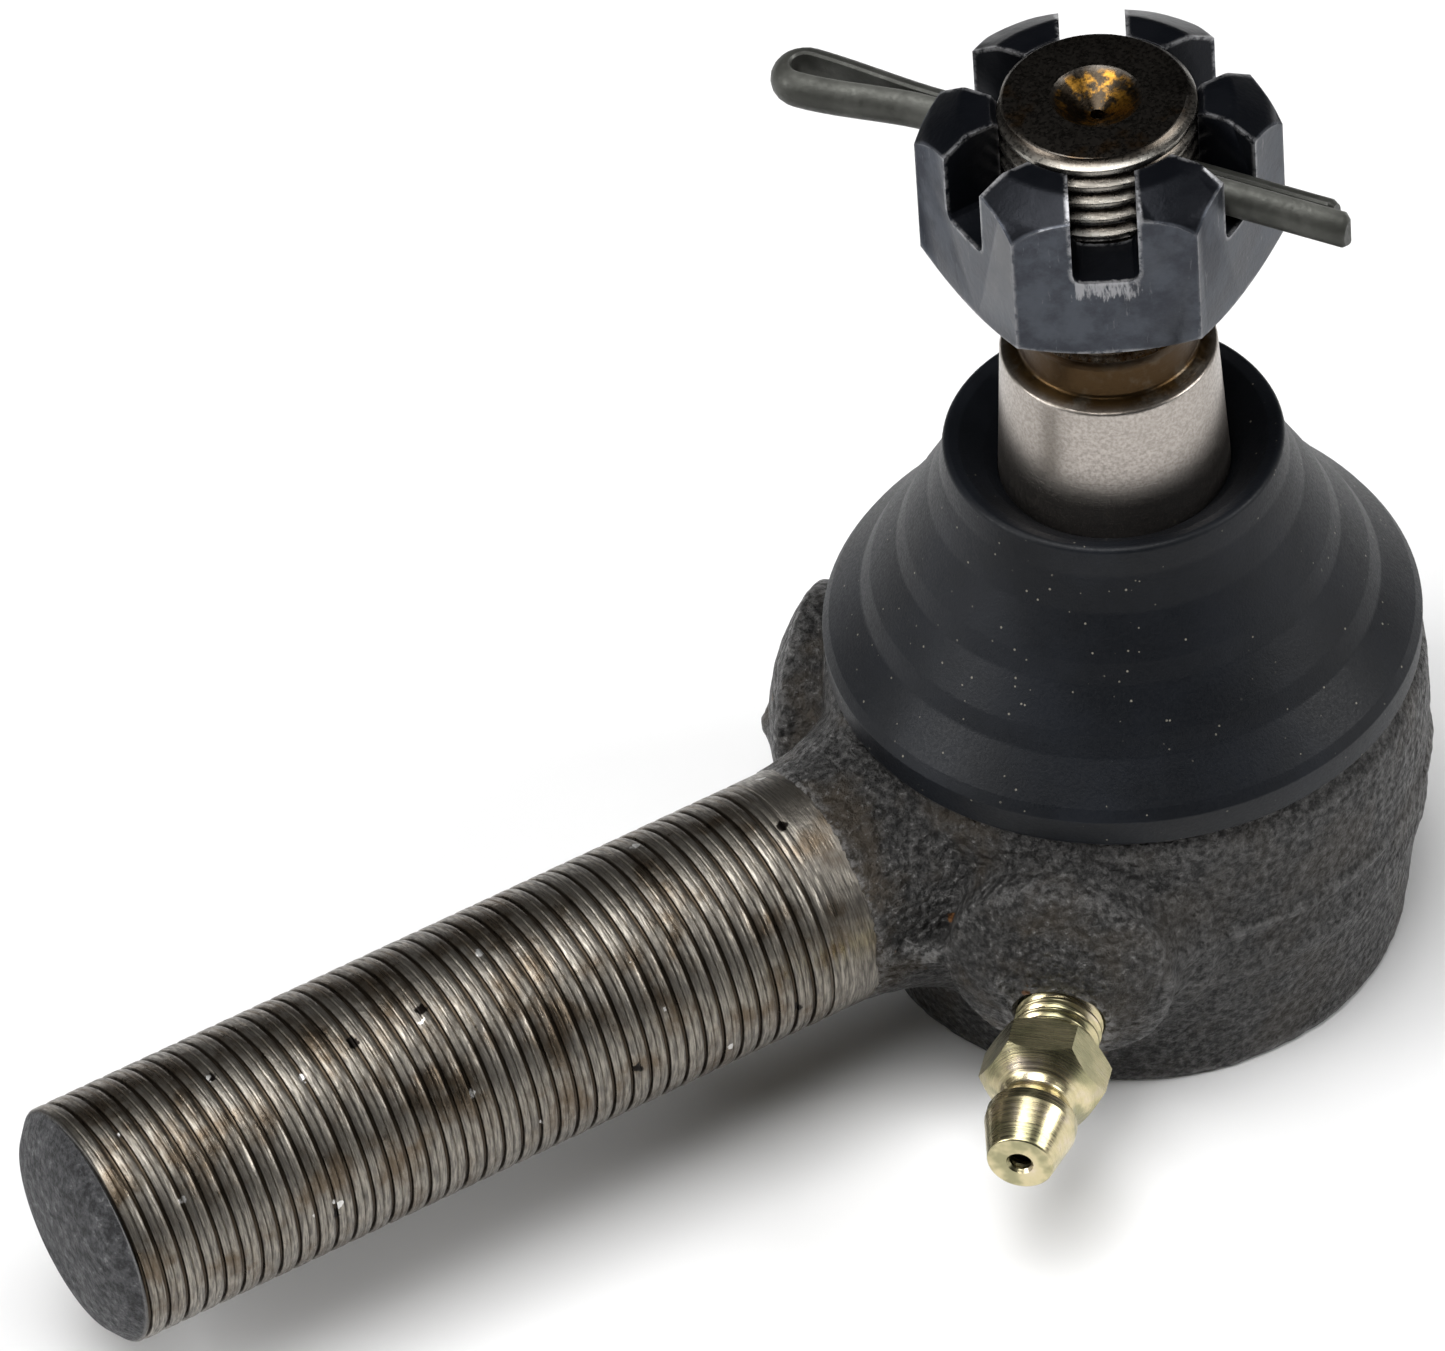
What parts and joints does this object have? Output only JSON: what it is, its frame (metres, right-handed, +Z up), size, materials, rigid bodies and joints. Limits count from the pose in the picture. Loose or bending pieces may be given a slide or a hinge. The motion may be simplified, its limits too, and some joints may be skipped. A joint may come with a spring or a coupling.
{
  "type": "tie rod end",
  "caption": "Outer tie rod end: forged threaded shank and socket, swivelling tapered ball stud with slotted nut and split pin, rubber boot and side grease fitting.",
  "frame": {"origin": "centre of the closing plate's flat outer face, which is level with the housing's lower edge, on the stud's axis", "axes": "+Z up along the stud's axis, away from the closing plate; -X along the threaded shank, towards its end"},
  "size_m": [0.11, 0.0533, 0.0771],
  "materials": {
    "forged_steel": "rough forged and scaled, with the shank's thread rolled bright",
    "machined_steel": "satin ground taper, oiled thread",
    "black_oxide": "black oxide, worn on the edges",
    "phosphate_steel": "dark grey phosphate",
    "boot_rubber": "satin moulded rubber, dusty",
    "plated_steel": "yellow zinc plate",
    "bearing_steel": "polished hardened steel",
    "sintered_bearing": "oil-filled sintered metal",
    "plate_steel": "pressed steel, lightly oiled"
  },
  "bodies": {
    "housing_body": {"housing": "forged_steel", "cover_plate": "plate_steel", "preload_spring": "bearing_steel", "upper_bearing": "bearing_steel", "grease_fitting_body": "plated_steel", "check_spring": "bearing_steel"},
    "boot_body": {"dust_boot": "boot_rubber"},
    "half_ball_body": {"half_ball": "sintered_bearing"},
    "stud_body": {"ball_stud": "machined_steel", "castle_nut": "black_oxide"},
    "pin_body": {"cotter_pin": "phosphate_steel"},
    "lower_bearing_body": {"lower_bearing": "sintered_bearing"},
    "check_ball_body": {"check_ball": "bearing_steel"}
  },
  "joints": [
    {"name": "stud_swivel", "type": "hinge", "parent": "housing_body", "child": "boot_body", "pos_m": [0, 0, 0.0153], "axis": [0, 0, 1], "continuous": true},
    {"name": "stud_tilt", "type": "hinge", "parent": "boot_body", "child": "half_ball_body", "pos_m": [0, 0, 0.0153], "axis": [0, 1, 0], "range_deg": [-22, 22], "deforming": ["dust_boot"]},
    {"name": "stud_spin", "type": "hinge", "parent": "half_ball_body", "child": "stud_body", "pos_m": [0, 0, 0.0153], "axis": [0, 0, 1], "continuous": true},
    {"name": "cotter_pin_pull", "type": "slide", "parent": "stud_body", "child": "pin_body", "axis": [-0.5446, 0.8387, 0], "range_m": [-0.002, 0.034]},
    {"name": "lower_bearing_give", "type": "slide", "parent": "housing_body", "child": "lower_bearing_body", "axis": [0, 0, -1], "range_m": [0, 0.0004], "stiffness_N_per_m": 2000, "springref_m": -0.003, "deforming": ["preload_spring"]},
    {"name": "check_ball_press", "type": "slide", "parent": "housing_body", "child": "check_ball_body", "axis": [0.6884, 0.7254, 0], "range_m": [0, 0.0008], "stiffness_N_per_m": 100, "springref_m": -0.002, "deforming": ["check_spring"]}
  ]
}
